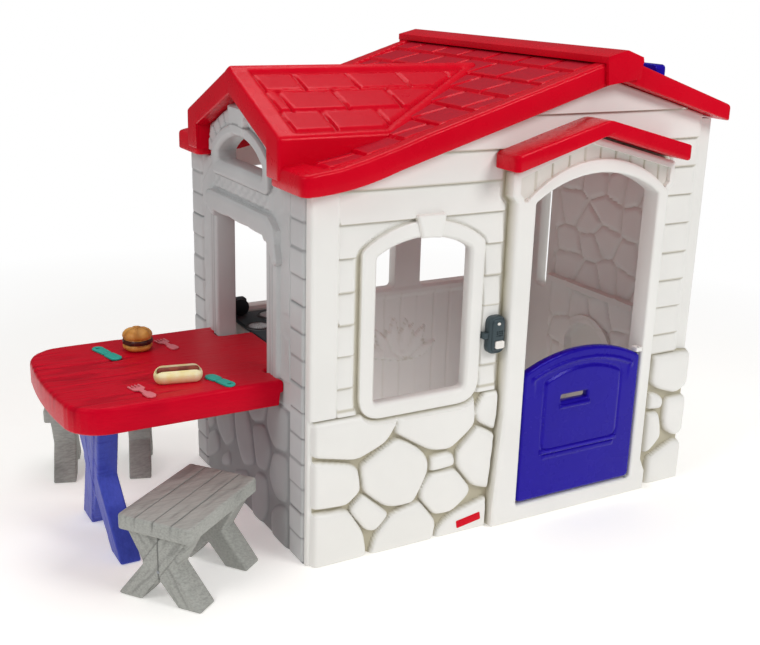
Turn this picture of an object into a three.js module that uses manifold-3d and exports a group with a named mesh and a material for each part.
// A moulded plastic playhouse for small children, with a picnic table at its side opening, two loose
// benches and a play picnic set. Millimetres, +Z up. The front wall faces -Y and the table stands at -X.
import * as THREE from "three";
import { mergeVertices } from "three/addons/utils/BufferGeometryUtils.js";
import Module from "manifold-3d";

const wasm = await Module();
wasm.setup();

// Driving dimensions, in the house's own frame: X along the front wall from its left corner,
// Y into the house, Z up from the floor.
const HOUSE = { width: 1232, depth: 760 };
const WALL = { front: 18, side: 40, back: 42, lap: 12 };
const GAP = 0.3; // running gap between pieces that touch
const EAVE = { left: -38, right: 1247, front: -45, back: 767, under: 943, top: 986 };
const RIDGE = { x: 850, under: 1182, top: 1243, back: 955 };
const RIDGE_CAP = { left: 62, right: 55, leftFall: 18.5, rightFall: 17.4, rise: 14, overhang: 12, rest: 0.8 };
const KICK = { x: 207, under: 989, top: 1043 }; // where the left slope starts to flatten
const FLAT = { x: 60, top: 1003 }; // a point on the flatter foot of the left slope
const EAVE_RIGHT = { under: 1066, top: 1112 };
const DORMER = { y: 376, front: -42, peak: 1190, foot: 1056, reach: 299, inner: 231, end: 690, thick: 61 };
const STONES = { top: 391, proud: 20 };
const WINDOW = { left: 174, right: 440, sill: 412, spring: 782, crown: 820, trim: 42, proud: 15 };
const KEYSTONE = { left: 276, right: 358, draft: 12, rise: 56, proud: 9 };
const PORCH = {
  left: 552, right: 1057, flare: 14, foot: 19, plinth: 60, proud: 40, capital: 890, shoulder: 966, peak: 1048,
};
const DOORWAY = { left: 612, right: 1017, sill: 50, spring: 885, crown: 950 };
const DOOR = { left: 614.5, right: 1013, bottom: 56, shoulder: 428, crown: 477, front: -38, thick: 24 };
const HINGE = { x: 1006, y: -32, pin: 3, clearance: 0.35 };
const SLOT = { left: 743, right: 833, bottom: 332, top: 350 };
const HOOD = { left: 500, right: 1068, peakX: 778, foot: 973, peak: 1054, band: 43, front: -98 };
const BELL = { left: 497, right: 547, bottom: 498, top: 598, proud: 35 };
const BELL_BUTTON = { left: 512, right: 540, bottom: 514, top: 535, proud: 38, pocket: 20, travel: 3 };
const SERVICE = { front: 214, back: 540, sill: 420, head: 805, border: 58, stoneBorder: 50 };
const LUNETTE = { front: 232, back: 524, sill: 945, spring: 968, crown: 1022 };
const TABLE = { top: 455, thick: 67, front: 132, back: 620, end: -538, corner: 95, tongue: 84, lip: 34 };
const LEG = { y: 380, right: -355, thick: 56, foot: 172, footWide: 85, waist: 52, waistZ: 195, lean: 0.09 };
const BENCH = { length: 312, width: 194, height: 220, seat: 38, span: 281 };
const TRESTLE = {
  thick: 66, foot: 116, footWide: 66, waist: 42, waistZ: 96, topHalf: 88, screwZ: 84, hole: 4.3,
};
const BENCHES = [
  { name: "front_bench", x: -269, y: 89, turn: 37.5 },
  { name: "rear_bench", x: -277, y: 809, turn: -18.6 },
];
const STOVE = {
  left: 88, right: 420, front: 440, top: 453, plate: 13, shelf: 40, hob: 172, upstand: 50, upstandDeep: 26,
};
const BURNERS = [
  { name: "burner_front", x: 118, y: 565, radius: 38 },
  { name: "burner_back", x: 196, y: 650, radius: 44 },
];
const KNOB = { x: 110, y: 680, radius: 26, topRadius: 24, height: 16 };
const CHIMNEY = { inner: 1248.5, outer: 1287, front: 262, back: 498, base: 1060, top: 1192 };
const BACK_PANES = [
  [100, 300],
  [360, 655],
  [750, 1050],
];
const BACK_PANE = { sill: 468, spring: 860, crown: 888 };
const SIDE_SLITS = [
  [80, 132],
  [628, 680],
];
const SIDE_SLIT = { sill: 434, head: 905, corner: 20 };
// Radius and height up the side of the burger.
const BURGER_PROFILE = [
  [0, 0],
  [32, 0],
  [39, 8],
  [37, 17],
  [40, 20],
  [40, 30],
  [37, 33],
  [40, 40],
  [32, 53],
  [17, 59],
  [0, 60],
];
const HOT_DOG = {
  bunHalf: 60, bunRadius: 24, bunRise: 18, sausageHalf: 52, sausageRadius: 9, sausageRise: 29, slit: 12,
};
const KNIFE = { handle: 15, blade: 16, waist: 10, waistAt: 7, thick: 5, hole: 5.5 };
const FORK = {
  half: 48, head: -14, headWidth: 32, tines: -29, neck: 12, handle: 8, handleWidth: 25, thick: 4, slit: 4.6,
};
const ARC_STEPS = 8;

// Colours, as sRGB, with roughness.
const WHITE = [0xeeeeea, 0.42];
const GREY = [0xa9aaab, 0.45];
const RED = [0xc8102a, 0.3];
const BLUE = [0x2a1fa0, 0.35];
const BENCH_GREY = [0x8b8c8c, 0.6];
const CHARCOAL = [0x3a3f42, 0.45];
const BLACK = [0x101214, 0.4];
const SILVER = [0xb9bdc0, 0.35];
const BUN = [0xd9994a, 0.6];
const PALE_BUN = [0xf1e0a4, 0.6];
const PATTY = [0x4a1c12, 0.6];
const TEAL = [0x2fa59b, 0.4];
const PINK = [0xe0707c, 0.4];
const STEEL = [0x8f9499, 0.35];

// --- solids -----------------------------------------------------------------------------------

function solid(geometry) {
  const bare = geometry.index ? geometry.toNonIndexed() : geometry.clone();
  bare.deleteAttribute("normal");
  bare.deleteAttribute("uv");
  const merged = mergeVertices(bare, 1e-3);
  return new wasm.Manifold(
    new wasm.Mesh({
      numProp: 3,
      vertProperties: merged.attributes.position.array,
      triVerts: new Uint32Array(merged.index.array),
    }),
  );
}

function geometryOf(body) {
  const mesh = body.getMesh();
  const positions = new Float32Array(mesh.numVert * 3);
  for (let i = 0; i < mesh.numVert; i++) {
    positions.set(mesh.vertProperties.subarray(i * mesh.numProp, i * mesh.numProp + 3), i * 3);
  }
  const indexed = new THREE.BufferGeometry();
  indexed.setAttribute("position", new THREE.BufferAttribute(positions, 3));
  indexed.setIndex(new THREE.BufferAttribute(mesh.triVerts, 1));
  const flat = indexed.toNonIndexed();
  flat.computeVertexNormals();
  return flat;
}

// An outline is a list of [u, v] points, or a THREE.Shape.
function extruded(outline, depth) {
  const isShape = outline instanceof THREE.Shape;
  const shape = isShape ? outline : new THREE.Shape(outline.map((p) => new THREE.Vector2(...p)));
  return new THREE.ExtrudeGeometry(shape, { depth, bevelEnabled: false, curveSegments: ARC_STEPS });
}

// Outline in X and Y, raised from z0 to z1.
function prismZ(outline, z0, z1) {
  return solid(extruded(outline, z1 - z0).translate(0, 0, z0));
}

// Outline in X and Z, run from y0 to y1.
function prismY(outline, y0, y1) {
  return solid(extruded(outline, y1 - y0).rotateX(Math.PI / 2).translate(0, y1, 0));
}

// Outline in Y and Z, run from x0 to x1.
function prismX(outline, x0, x1) {
  const swap = new THREE.Matrix4().makeBasis(
    new THREE.Vector3(0, 1, 0),
    new THREE.Vector3(0, 0, 1),
    new THREE.Vector3(1, 0, 0),
  );
  return solid(extruded(outline, x1 - x0).applyMatrix4(swap).translate(x0, 0, 0));
}

function block(x0, x1, y0, y1, z0, z1) {
  const size = new THREE.BoxGeometry(x1 - x0, y1 - y0, z1 - z0);
  return solid(size.translate((x0 + x1) / 2, (y0 + y1) / 2, (z0 + z1) / 2));
}

function pin(x, y, z0, z1, radius) {
  const round = new THREE.CylinderGeometry(radius, radius, z1 - z0, 16);
  return solid(round.rotateX(Math.PI / 2).translate(x, y, (z0 + z1) / 2));
}

// A rectangle from (u0, v0) to (u1, v1) with round corners.
function rounded(u0, v0, u1, v1, radius) {
  const shape = new THREE.Shape();
  shape.absarc(u1 - radius, v0 + radius, radius, -Math.PI / 2, 0);
  shape.absarc(u1 - radius, v1 - radius, radius, 0, Math.PI / 2);
  shape.absarc(u0 + radius, v1 - radius, radius, Math.PI / 2, Math.PI);
  shape.absarc(u0 + radius, v0 + radius, radius, Math.PI, 1.5 * Math.PI);
  return shape;
}

// A rectangle whose top is an arc that rises from spring to crown.
function arched(u0, u1, base, spring, crown) {
  const half = (u1 - u0) / 2;
  const rise = crown - spring;
  const radius = (half * half + rise * rise) / (2 * rise);
  const angle = Math.asin(half / radius);
  const shape = new THREE.Shape();
  shape.moveTo(u0, base);
  shape.lineTo(u1, base);
  shape.absarc((u0 + u1) / 2, crown - radius, radius, Math.PI / 2 - angle, Math.PI / 2 + angle);
  return shape;
}

// --- assembly ---------------------------------------------------------------------------------

const house = new THREE.Group();

function place(name, body, [color, roughness], parent = house) {
  const material = new THREE.MeshStandardMaterial({ color, roughness, metalness: 0 });
  const mesh = new THREE.Mesh(geometryOf(body), material);
  mesh.name = name;
  parent.add(mesh);
  return mesh;
}

// --- walls ------------------------------------------------------------------------------------

// Height of the roof's underside above the floor at x.
function underRoof(x) {
  if (x < KICK.x) {
    const share = Math.max(0, x - EAVE.left) / (KICK.x - EAVE.left);
    return EAVE.under + (KICK.under - EAVE.under) * share * share;
  }
  if (x < RIDGE.x) {
    return KICK.under + ((RIDGE.under - KICK.under) * (x - KICK.x)) / (RIDGE.x - KICK.x);
  }
  return RIDGE.under + ((EAVE_RIGHT.under - RIDGE.under) * (x - RIDGE.x)) / (EAVE.right - RIDGE.x);
}

// Outline in X and Z of a wall that closes the gable between x0 and x1.
function gableOutline(x0, x1) {
  const outline = [
    [x0, 0],
    [x1, 0],
  ];
  const breaks = [x1, RIDGE.x, KICK.x, FLAT.x, x0].filter((x) => x >= x0 && x <= x1);
  for (const x of breaks) outline.push([x, underRoof(x) - 1]);
  return outline;
}

function frontWall() {
  const joint = HOUSE.width - WALL.back;
  const panel = prismY(gableOutline(0, joint), 0, WALL.front);
  const leftStones = block(0, PORCH.left + 5, -STONES.proud, 1, 0, STONES.top);
  const rightStones = block(PORCH.right - 5, joint, -STONES.proud, 1, 0, STONES.top);
  const { left, right, sill, spring, crown, trim, proud } = WINDOW;
  const trimOutline = arched(left - trim, right + trim, sill - trim, spring + trim / 2, crown + trim);
  const key = KEYSTONE;
  const keystone = prismY(
    [
      [key.left + key.draft, crown - 6],
      [key.right - key.draft, crown - 6],
      [key.right, crown + key.rise],
      [key.left, crown + key.rise],
    ],
    -proud - key.proud,
    1,
  );
  const { left: near, right: far, flare, foot, plinth, capital, shoulder } = PORCH;
  const porch = prismY(
    [
      [near - foot, 0],
      [far + foot, 0],
      [far + foot, plinth],
      [far, plinth + 40],
      [far, capital],
      [far + flare, capital + 15],
      [far + flare, shoulder],
      [HOOD.peakX, PORCH.peak],
      [near - flare, shoulder],
      [near - flare, capital + 15],
      [near, capital],
      [near, plinth + 270],
      [near - foot, plinth],
    ],
    -PORCH.proud,
    1,
  );
  const through = [-200, 200];
  const doorway = arched(DOORWAY.left, DOORWAY.right, DOORWAY.sill, DOORWAY.spring, DOORWAY.crown);
  return panel
    .add(leftStones)
    .add(rightStones)
    .add(prismY(trimOutline, -proud, 1))
    .add(porch)
    .subtract(prismY(arched(left, right, sill, spring, crown), ...through))
    .subtract(prismY(doorway, ...through))
    .add(keystone)
    .subtract(pin(HINGE.x, HINGE.y, DOORWAY.sill - 12, DOORWAY.sill + 5, HINGE.pin + HINGE.clearance));
}

function serviceWall() {
  const front = WALL.front + GAP;
  const back = HOUSE.depth - WALL.lap - GAP;
  const low = EAVE.under - 2;
  const reach = DORMER.inner - 2;
  const gableFoot = dormerUnder(reach) - 2;
  const outline = [
    [front, 0],
    [back, 0],
    [back, low],
    [DORMER.y + reach, low],
    [DORMER.y + reach, gableFoot],
    [DORMER.y, dormerUnder(0) - 2],
    [DORMER.y - reach, gableFoot],
    [DORMER.y - reach, low],
    [front, low],
  ];
  const panel = prismX(outline, 0, WALL.side);
  const { front: near, back: far, sill, head, border, stoneBorder } = SERVICE;
  const underTable = TABLE.top - TABLE.thick - 6;
  const frame = prismX(rounded(near - border, TABLE.top + 2, far + border, head + 46, 12), -12, 1);
  const stones = prismX(rounded(near - stoneBorder, 0, far + stoneBorder, underTable, 10), -6, 1);
  const lunette = arched(LUNETTE.front, LUNETTE.back, LUNETTE.sill, LUNETTE.spring, LUNETTE.crown);
  return panel
    .add(frame)
    .add(stones)
    .subtract(block(-50, 90, near, far, sill, head))
    .subtract(prismX(lunette, -50, 90));
}

function backWall() {
  const joint = HOUSE.width - WALL.back;
  const inner = HOUSE.depth - WALL.back;
  const thin = prismY(gableOutline(0, joint), HOUSE.depth - WALL.lap, HOUSE.depth);
  const thick = prismY(gableOutline(WALL.side + GAP, joint), inner, HOUSE.depth - 1);
  let wall = thin.add(thick);
  const { sill, spring, crown } = BACK_PANE;
  for (const [left, right] of BACK_PANES) {
    wall = wall.subtract(prismY(arched(left, right, sill, spring, crown), inner - 50, HOUSE.depth + 50));
  }
  return wall;
}

function rightWall() {
  const inner = HOUSE.width - WALL.back + GAP;
  const outline = [
    [inner, 0],
    [HOUSE.width, 0],
    [HOUSE.width, underRoof(HOUSE.width) - 1],
    [inner, underRoof(inner) - 1],
  ];
  let wall = prismY(outline, 8, HOUSE.depth);
  wall = wall.add(block(HOUSE.width - 1, CHIMNEY.outer, CHIMNEY.front, CHIMNEY.back, 0, CHIMNEY.base));
  const { sill, head, corner } = SIDE_SLIT;
  for (const [front, back] of SIDE_SLITS) {
    wall = wall.subtract(prismX(rounded(front, sill, back, head, corner), inner - 50, HOUSE.width + 50));
  }
  return wall;
}

// --- roof -------------------------------------------------------------------------------------

// Underside of the dormer at a distance from its ridge.
function dormerUnder(distance) {
  return DORMER.peak - DORMER.thick - distance * ((DORMER.peak - DORMER.foot) / DORMER.reach);
}

// The roof seen from above: straight at the front, and running out to a point under the ridge at the back.
function roofPlan() {
  const slope = (RIDGE.back - EAVE.back) / (RIDGE.x - EAVE.left);
  return prismZ(
    [
      [EAVE.left - 5, EAVE.front],
      [EAVE.right + 5, EAVE.front],
      [EAVE.right + 5, RIDGE.back - (EAVE.right - RIDGE.x) * slope],
      [RIDGE.x, RIDGE.back],
      [KICK.x + 340, RIDGE.back - 30],
      [EAVE.left - 5, EAVE.back],
    ],
    800,
    1400,
  );
}

function roofLeft() {
  const far = 1000;
  const slope = prismY(
    [
      [EAVE.left, EAVE.under],
      [FLAT.x, underRoof(FLAT.x)],
      [KICK.x, KICK.under],
      [RIDGE.x - GAP, RIDGE.under],
      [RIDGE.x - GAP, RIDGE.top],
      [KICK.x, KICK.top],
      [FLAT.x, FLAT.top],
      [EAVE.left + 6, EAVE.top + 2],
      [EAVE.left, EAVE.top - 6],
    ],
    EAVE.front,
    far,
  ).intersect(roofPlan());
  const { y, front, peak, foot, reach, inner, end } = DORMER;
  const dormer = prismX(
    [
      [y - reach, EAVE.top - 25],
      [y + reach, EAVE.top - 25],
      [y + reach, foot],
      [y, peak],
      [y - reach, foot],
    ],
    front,
    end,
  );
  const hollow = prismX(
    [
      [y - inner, 800],
      [y + inner, 800],
      [y + inner, dormerUnder(inner)],
      [y, dormerUnder(0)],
      [y - inner, dormerUnder(inner)],
    ],
    front - 20,
    470,
  );
  const underSlope = prismY(
    [
      [EAVE.left - 20, 700],
      [RIDGE.x, 700],
      [RIDGE.x, RIDGE.under],
      [KICK.x, KICK.under],
      [FLAT.x, underRoof(FLAT.x)],
      [EAVE.left - 20, EAVE.under],
    ],
    -100,
    far,
  );
  return slope.add(dormer).subtract(hollow).subtract(underSlope);
}

function roofRight() {
  return prismY(
    [
      [RIDGE.x + GAP, RIDGE.under],
      [EAVE.right, EAVE_RIGHT.under],
      [EAVE.right, EAVE_RIGHT.top - 7],
      [EAVE.right - 6, EAVE_RIGHT.top],
      [RIDGE.x + GAP, RIDGE.top],
    ],
    EAVE.front,
    1000,
  ).intersect(roofPlan());
}

function chimneyTop() {
  const { inner, outer, front, back, base, top } = CHIMNEY;
  return block(inner, outer, front, back, base + GAP, top);
}

function ridgeCap() {
  const { x, top, back, under } = RIDGE;
  const { left, right, leftFall, rightFall, rise, overhang, rest } = RIDGE_CAP;
  const leftTop = top - leftFall;
  const rightTop = top - rightFall;
  const bar = prismY(
    [
      [x - left, leftTop],
      [x, top + rest],
      [x + right, rightTop],
      [x + right - 3, rightTop + rise],
      [x, top + rise],
      [x - left, leftTop + rise + 3],
    ],
    EAVE.front - overhang,
    back + overhang,
  );
  const shield = [
    [x - left + 8, under - 10],
    [x, under - 2],
    [x + right - 6, under + 4],
    [x + right - 1, rightTop + 8],
    [x, top + rise],
    [x - left, leftTop + rise + 3],
  ];
  const frontShield = prismY(shield, EAVE.front - overhang, EAVE.front - GAP);
  const backShield = prismY(shield, back + GAP, back + overhang);
  return bar.add(frontShield).add(backShield);
}

function doorHood() {
  const { left, right, peakX, foot, peak, band, front } = HOOD;
  return prismY(
    [
      [left, foot],
      [peakX, peak],
      [right, foot],
      [right, foot + band],
      [peakX, peak + band - 4],
      [left, foot + band],
    ],
    front,
    -GAP,
  );
}

// --- door -------------------------------------------------------------------------------------

function halfDoor() {
  const { left, right, bottom, shoulder, crown, front, thick } = DOOR;
  const pinHole = HINGE.pin + HINGE.clearance;
  const leaf = prismY(arched(left, right, bottom, shoulder, crown), front, front + thick);
  const { left: slotLeft, right: slotRight, bottom: slotBottom, top: slotTop } = SLOT;
  const ledge = block(slotLeft - 4, slotRight + 8, front - 6, front + 1, slotBottom - 18, slotBottom - 10);
  return leaf
    .add(ledge)
    .subtract(block(slotLeft, slotRight, front - 9, 0, slotBottom, slotTop))
    .subtract(pin(HINGE.x, HINGE.y, bottom - 5, bottom + 22, pinHole))
    .subtract(pin(HINGE.x, HINGE.y, shoulder - 22, shoulder + 30, pinHole));
}

function hingeBracket() {
  const low = DOOR.shoulder + 9;
  const high = low + 12;
  const lug = block(HINGE.x - 9, DOORWAY.right - GAP, DOOR.front, DOOR.front + DOOR.thick, low, high);
  return lug.subtract(pin(HINGE.x, HINGE.y, low - 5, high + 8, HINGE.pin + GAP));
}

// --- doorbell ---------------------------------------------------------------------------------

function bellHousing() {
  const { left, right, bottom, top, proud } = BELL;
  const button = BELL_BUTTON;
  const shell = prismY(rounded(left, bottom, right, top, 20), -proud, -GAP);
  const middle = (bottom + top) / 2;
  const tab = block(left - 14, left + 3, -proud + 10, -GAP, middle - 8, middle + 8);
  const pocket = block(button.left, button.right, -60, -button.pocket, button.bottom, button.top);
  return shell.add(tab).subtract(pocket);
}

function bellButton() {
  const button = BELL_BUTTON;
  const side = 0.5;
  return prismY(
    rounded(button.left + side, button.bottom + side, button.right - side, button.top - side, 5),
    -button.proud,
    -button.pocket - button.travel - GAP,
  );
}

// A cover on the wall's inner face, behind the doorbell.
function batteryCover() {
  const margin = 10;
  const outline = rounded(BELL.left, BELL.bottom + margin, BELL.right, BELL.top - margin, 8);
  return prismY(outline, WALL.front + GAP, WALL.front + 8);
}

// --- table ------------------------------------------------------------------------------------

function tableOutline() {
  const { front, back, end, corner } = TABLE;
  const edge = end + 10;
  const shape = new THREE.Shape();
  shape.moveTo(-1, front);
  shape.lineTo(-1, SERVICE.front - 11);
  shape.lineTo(-15, SERVICE.front - 8);
  shape.lineTo(-15, SERVICE.front + 8);
  shape.lineTo(-15, SERVICE.back - 8);
  shape.lineTo(-15, SERVICE.back + 28);
  shape.lineTo(-1, SERVICE.back + 34);
  shape.lineTo(-1, back);
  shape.lineTo(edge + corner, back);
  shape.absarc(edge + corner, back - corner, corner, Math.PI / 2, Math.PI);
  shape.quadraticCurveTo(end - 9, (front + back) / 2, edge, front + corner);
  shape.absarc(edge + corner, front + corner, corner, Math.PI, 1.5 * Math.PI);
  return shape;
}

function tableTop() {
  const { top, thick, tongue, lip } = TABLE;
  const slab = prismZ(tableOutline(), top - thick, top);
  const through = block(-20, tongue, SERVICE.front + 8, SERVICE.back - 8, top - lip, top);
  return slab.add(through);
}

// An X-shaped trestle as an outline across and up, with its feet on the floor.
function trestleOutline(foot, footWide, waist, waistZ, topHalf, height) {
  const crotch = waistZ * 0.62;
  return [
    [-foot, 0],
    [-foot + footWide, 0],
    [0, crotch],
    [foot - footWide, 0],
    [foot, 0],
    [waist, waistZ],
    [topHalf, height],
    [-topHalf, height],
    [-waist, waistZ],
  ];
}

function tableLeg() {
  const height = TABLE.top - TABLE.thick - GAP;
  const outline = trestleOutline(LEG.foot, LEG.footWide, LEG.waist, LEG.waistZ, 150, height);
  const across = outline.map(([u, v]) => [u + LEG.y, v]);
  const lean = new THREE.Matrix4().makeShear(0, 0, 0, 0, -LEG.lean, 0);
  const upright = geometryOf(prismX(across, LEG.right - LEG.thick, LEG.right));
  return solid(upright.applyMatrix4(lean));
}

// --- benches ----------------------------------------------------------------------------------

function bench({ name, x, y, turn }) {
  const group = turnedGroup(x, y, 0, turn);
  const { length, width, height, seat, span } = BENCH;
  const { thick, foot, footWide, waist, waistZ, topHalf, screwZ, hole } = TRESTLE;
  const underSeat = height - seat;
  const seatOutline = rounded(-length / 2, -width / 2, length / 2, width / 2, 8);
  place(name + "_seat", prismZ(seatOutline, underSeat, height), BENCH_GREY, group);
  const outline = trestleOutline(foot, footWide, waist, waistZ, topHalf, underSeat - GAP);
  for (const [end, side] of [
    ["left", -1],
    ["right", 1],
  ]) {
    const outer = (side * span) / 2;
    const inner = outer - side * thick;
    const body = prismX(outline, Math.min(outer, inner), Math.max(outer, inner));
    const bore = new THREE.CylinderGeometry(hole, hole, 24, 12).rotateZ(Math.PI / 2);
    const shank = new THREE.CylinderGeometry(hole - GAP, hole - GAP, 12, 12).rotateZ(Math.PI / 2);
    const drilled = body.subtract(solid(bore.translate(outer, 0, screwZ)));
    place(name + "_" + end + "_trestle", drilled, BENCH_GREY, group);
    place(name + "_" + end + "_screw", solid(shank.translate(outer - side * 5.5, 0, screwZ)), STEEL, group);
  }
}

// --- play kitchen -----------------------------------------------------------------------------

function kitchen() {
  const { left, right, front, top, plate, shelf, hob, upstand, upstandDeep } = STOVE;
  const inner = HOUSE.depth - WALL.back - GAP;
  const under = top - plate - GAP;
  place("kitchen_shelf", block(left, right, front, inner, under - shelf, under), WHITE);
  const plateBody = block(left, left + hob, front, inner, top - plate, top);
  const panel = block(left, left + 48, inner - upstandDeep, inner, top - 1, top + upstand);
  place("stove_top", plateBody.add(panel), CHARCOAL);
  for (const { name, x, y, radius } of BURNERS) {
    place(name, pin(x, y, top + GAP, top + 5, radius), SILVER);
  }
  const dial = new THREE.CylinderGeometry(KNOB.topRadius, KNOB.radius, KNOB.height, 20);
  const dialZ = top + 1 + GAP + KNOB.radius;
  place("stove_knob", solid(dial.translate(KNOB.x, KNOB.y, dialZ)), BLACK);
}

// --- play food and cutlery --------------------------------------------------------------------

function turnedGroup(x, y, z, turn) {
  const group = new THREE.Group();
  group.position.set(x, y, z);
  group.rotation.z = THREE.MathUtils.degToRad(turn);
  house.add(group);
  return group;
}

function revolved(profile, steps) {
  const points = profile.map(([r, z]) => new THREE.Vector2(r, z));
  return solid(new THREE.LatheGeometry(points, steps).rotateX(Math.PI / 2));
}

function burger(x, y, z) {
  const whole = revolved(BURGER_PROFILE, 20);
  const group = turnedGroup(x, y, z, -30);
  const reach = 60;
  const leftSide = block(-reach, -GAP / 2, -reach, reach, -5, 80);
  const rightSide = block(GAP / 2, reach, -reach, reach, -5, 80);
  place("burger_left_half", whole.intersect(leftSide), BUN, group);
  place("burger_right_half", whole.intersect(rightSide), BUN, group);
}

function capsuleAlongX(half, radius, height) {
  const round = new THREE.CapsuleGeometry(radius, 2 * (half - radius), 5, 14).rotateZ(Math.PI / 2);
  return solid(round.translate(0, 0, height));
}

function hotDog(x, y, z) {
  const { bunHalf, bunRadius, bunRise, sausageHalf, sausageRadius, sausageRise, slit } = HOT_DOG;
  const group = turnedGroup(x, y, z, -11);
  const reach = bunHalf + 10;
  const sausage = capsuleAlongX(sausageHalf, sausageRadius, sausageRise);
  const cavity = capsuleAlongX(sausageHalf + 1, sausageRadius + GAP, sausageRise);
  const slot = block(-reach, reach, -slit / 2, slit / 2, sausageRise, 60);
  const bun = capsuleAlongX(bunHalf, bunRadius, bunRise).intersect(block(-reach, reach, -40, 40, 0, 60));
  place("hot_dog_bun", bun.subtract(cavity).subtract(slot), PALE_BUN, group);
  place("hot_dog_sausage", sausage, PATTY, group);
}

function knife(name, x, y, z, turn, length) {
  const { handle, blade, waist, waistAt, thick, hole } = KNIFE;
  const handleAt = -length / 2 + handle;
  const bladeAt = length / 2 - blade;
  const outline = new THREE.Shape();
  outline.moveTo(handleAt, -handle);
  outline.lineTo(waistAt, -waist);
  outline.lineTo(bladeAt, -blade);
  outline.absarc(bladeAt, 0, blade, -Math.PI / 2, Math.PI / 2);
  outline.lineTo(waistAt, waist);
  outline.lineTo(handleAt, handle);
  outline.absarc(handleAt, 0, handle, Math.PI / 2, 1.5 * Math.PI);
  const group = turnedGroup(x, y, z, turn);
  place(name, prismZ(outline, 0, thick).subtract(pin(handleAt, 0, -1, thick + 1, hole)), TEAL, group);
}

function fork(name, x, y, z, turn) {
  const { half, head, headWidth, tines, neck, handle, handleWidth, thick, slit } = FORK;
  let body = prismZ(rounded(-half, -headWidth / 2, head, headWidth / 2, 3), 0, thick);
  for (const gap of [-1, 0, 1]) {
    const middle = (gap * headWidth) / 3.6;
    body = body.subtract(block(-half - 5, tines, middle - slit / 2, middle + slit / 2, -1, thick + 1));
  }
  body = body.add(block(head - 2, handle + 4, -neck / 2, neck / 2, 0, thick));
  body = body.add(prismZ(rounded(handle, -handleWidth / 2, half, handleWidth / 2, 9), 0, thick));
  place(name, body, PINK, turnedGroup(x, y, z, turn));
}

// --- the whole object -------------------------------------------------------------------------

place("front_wall", frontWall(), WHITE);
place("service_wall", serviceWall(), GREY);
place("back_wall", backWall(), WHITE);
place("right_wall", rightWall(), WHITE);
place("roof_left_panel", roofLeft(), RED);
place("roof_right_panel", roofRight(), RED);
place("ridge_cap", ridgeCap(), RED);
place("chimney_top", chimneyTop(), BLUE);
place("door_hood", doorHood(), RED);
place("half_door", halfDoor(), BLUE);
place("door_upper_bracket", hingeBracket(), WHITE);
place("door_lower_pin", pin(HINGE.x, HINGE.y, DOORWAY.sill - 11.5, DOOR.bottom + 21.5, HINGE.pin), STEEL);
place("door_upper_pin", pin(HINGE.x, HINGE.y, DOOR.shoulder - 21.5, DOOR.shoulder + 21, HINGE.pin), STEEL);
place("doorbell_housing", bellHousing(), CHARCOAL);
place("doorbell_button", bellButton(), WHITE);
place("doorbell_battery_cover", batteryCover(), CHARCOAL);
place("table_top", tableTop(), RED);
place("table_leg", tableLeg(), BLUE);
for (const one of BENCHES) bench(one);
kitchen();
const onTable = TABLE.top + GAP;
burger(-252, 512, onTable);
hotDog(-238, 235, onTable);
knife("knife_left", -338, 504, onTable, -76, 122);
knife("knife_right", -147, 190, onTable, 108, 100);
fork("fork_left", -338, 200, onTable, -77);
fork("fork_right", -171, 510, onTable, -80);

// The part's origin is at the floor, under the middle of its box.
const box = new THREE.Box3().setFromObject(house);
const middle = box.getCenter(new THREE.Vector3());
house.position.set(-middle.x, -middle.y, -box.min.z);

const playhouse = new THREE.Group();
playhouse.add(house);
export default playhouse;
